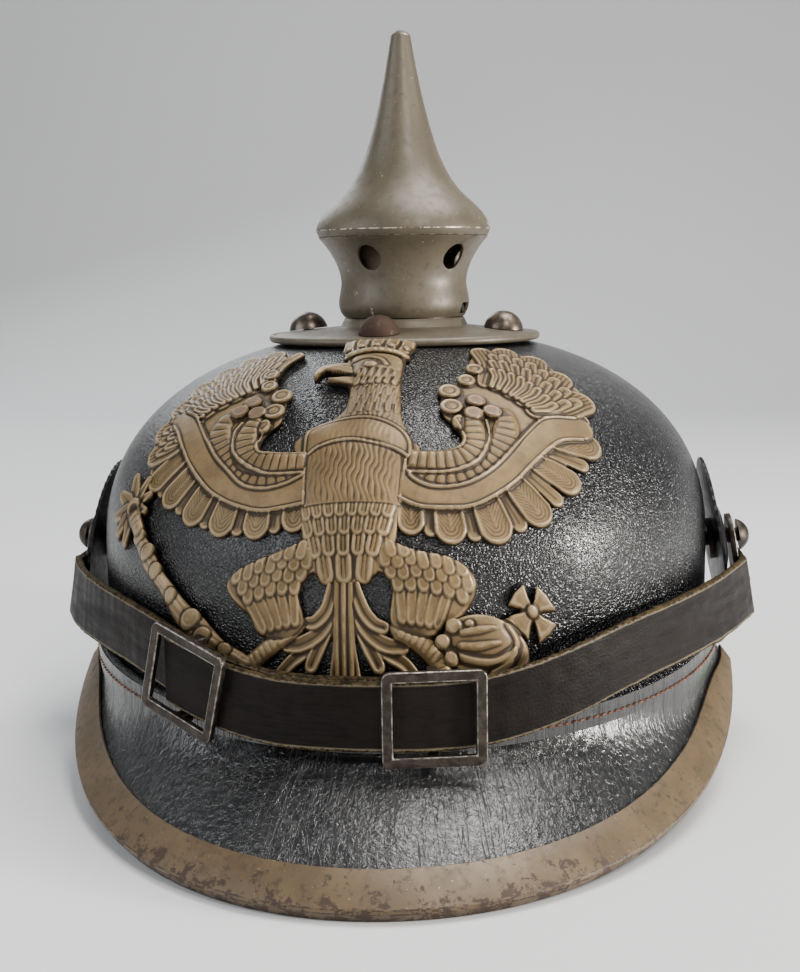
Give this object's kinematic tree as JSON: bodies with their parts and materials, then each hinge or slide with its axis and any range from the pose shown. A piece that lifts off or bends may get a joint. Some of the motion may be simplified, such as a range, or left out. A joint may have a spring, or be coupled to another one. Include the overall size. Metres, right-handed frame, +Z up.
{
  "type": "spiked leather helmet",
  "caption": "Black leather helmet with a tall painted spike on a round base, stamped eagle plate, front and rear visors, metal visor trim, side cockades and a buckled chin strap.",
  "frame": {"origin": "on the table, under the middle of the helmet's overall length and width", "axes": "+Z up along the spike, -Y towards the front visor, +X towards the viewer's right from the front"},
  "size_m": [0.2024, 0.2676, 0.2027],
  "materials": {
    "skull_leather": "black lacquered leather with a fine pebble grain, semi-gloss",
    "visor_leather": "black lacquered leather with fine crackle and scratches",
    "strap_leather": "dark grey-brown worn leather with creases and raw brown edges",
    "liner_leather": "natural brown leather, matt",
    "spike_paint": "olive-grey paint over steel with worn bright edges and chips",
    "eagle_paint": "khaki-grey paint over stamped steel, worn on the high places",
    "trim_paint": "tan-grey paint with chips and rust along the lower edge",
    "dark_steel": "dark blued and lightly rusted steel with worn edges",
    "cockade_black": "black paint on fluted metal"
  },
  "bodies": {
    "helmet": {"skull": "skull_leather", "front_visor": "visor_leather", "rear_visor": "visor_leather", "front_visor_trim": "trim_paint", "rear_spine": "trim_paint", "spine_stud": "dark_steel", "base_plate": "spike_paint", "base_studs": "dark_steel", "stud_washers": "liner_leather", "bayonet_collar": "spike_paint", "eagle_plate": "eagle_paint", "plate_loops": "dark_steel", "plate_wedges": "liner_leather", "side_post_left": "dark_steel", "side_post_right": "dark_steel", "post_nuts": "dark_steel", "visor_end_studs": "dark_steel", "sweatband": "liner_leather", "liner_tongues": "liner_leather"},
    "spike": {"spike_neck": "spike_paint", "spike_cone": "spike_paint"},
    "chinstrap": {"strap_lug_left": "dark_steel", "strap_lug_right": "dark_steel", "lug_rivets": "dark_steel", "strap_left": "strap_leather", "strap_right": "strap_leather"},
    "buckle_middle_slide": {"buckle_middle": "dark_steel"},
    "buckle_left_slide": {"buckle_left": "dark_steel"},
    "cockade_left_disc": {"cockade_left": "cockade_black"},
    "cockade_right_disc": {"cockade_right": "cockade_black"}
  },
  "joints": [
    {"name": "spike_turn", "type": "hinge", "parent": "helmet", "child": "spike", "pos_m": [0, 0.004, 0.1252], "axis": [0, 0, 1], "range_deg": [-25, 0]},
    {"name": "chinstrap_swing", "type": "hinge", "parent": "helmet", "child": "chinstrap", "pos_m": [0, 0.004, 0.05728], "axis": [-1, 0, 0], "range_deg": [0, 45]},
    {"name": "buckle_middle_travel", "type": "hinge", "parent": "chinstrap", "child": "buckle_middle_slide", "pos_m": [0, -0.0229, 0.0355], "axis": [0, 0, 1], "range_deg": [-4, 4]},
    {"name": "buckle_left_travel", "type": "hinge", "parent": "chinstrap", "child": "buckle_left_slide", "pos_m": [0.00313, -0.01808, 0.04057], "axis": [0.2171, -0.141, 0.9659], "range_deg": [-3, 3]},
    {"name": "cockade_left_turn", "type": "hinge", "parent": "helmet", "child": "cockade_left_disc", "pos_m": [-0.087, 0.004, 0.056], "axis": [-0.9877, 0, 0.1564], "continuous": true},
    {"name": "cockade_right_turn", "type": "hinge", "parent": "helmet", "child": "cockade_right_disc", "pos_m": [0.087, 0.004, 0.056], "axis": [0.9877, 0, 0.1564], "continuous": true}
  ]
}
